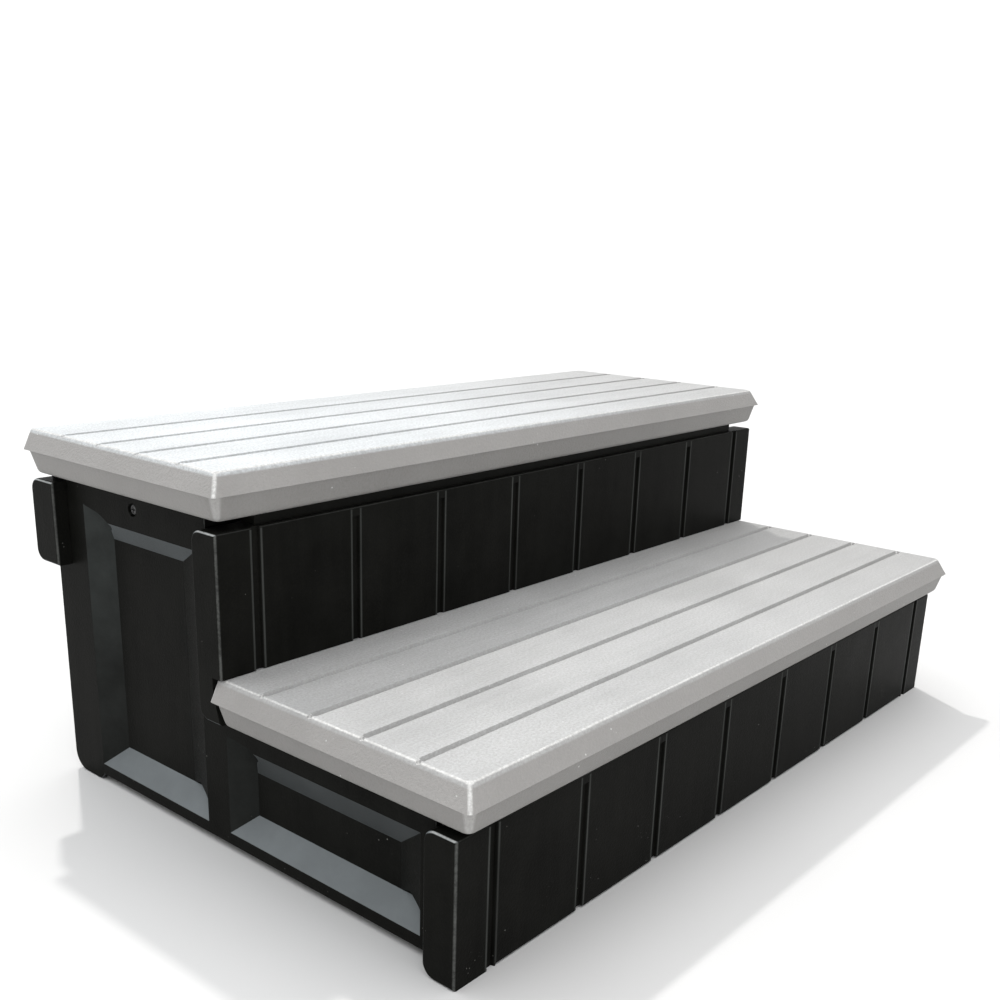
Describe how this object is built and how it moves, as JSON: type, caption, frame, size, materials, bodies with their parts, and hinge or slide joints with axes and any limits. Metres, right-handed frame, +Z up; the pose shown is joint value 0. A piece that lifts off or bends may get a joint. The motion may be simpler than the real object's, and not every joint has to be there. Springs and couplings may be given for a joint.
{
  "type": "spa steps",
  "caption": "Free-standing hot tub steps: light-grey plank-look treads on black panelled risers, recessed side panels and a rear rail, held together by screws.",
  "frame": {"origin": "on the floor, under the middle of the whole object's bounding box", "axes": "+X along the treads, to the right when standing in front; +Y from the lower step at the front to the upper step at the back; +Z up"},
  "size_m": [0.914, 0.596, 0.362],
  "materials": {
    "tread_plastic": "light grey moulded resin with a fine wood grain",
    "frame_plastic": "black moulded resin, low sheen",
    "screw_black": "black coated pan-head screws"
  },
  "bodies": {
    "root": {"upper_tread": "tread_plastic", "lower_tread": "tread_plastic", "upper_riser": "frame_plastic", "lower_riser": "frame_plastic", "left_side_panel": "frame_plastic", "right_side_panel": "frame_plastic", "rear_rail": "frame_plastic", "upper_tread_screws": "screw_black", "lower_tread_screws": "screw_black", "rear_rail_screws": "screw_black"}
  },
  "joints": []
}
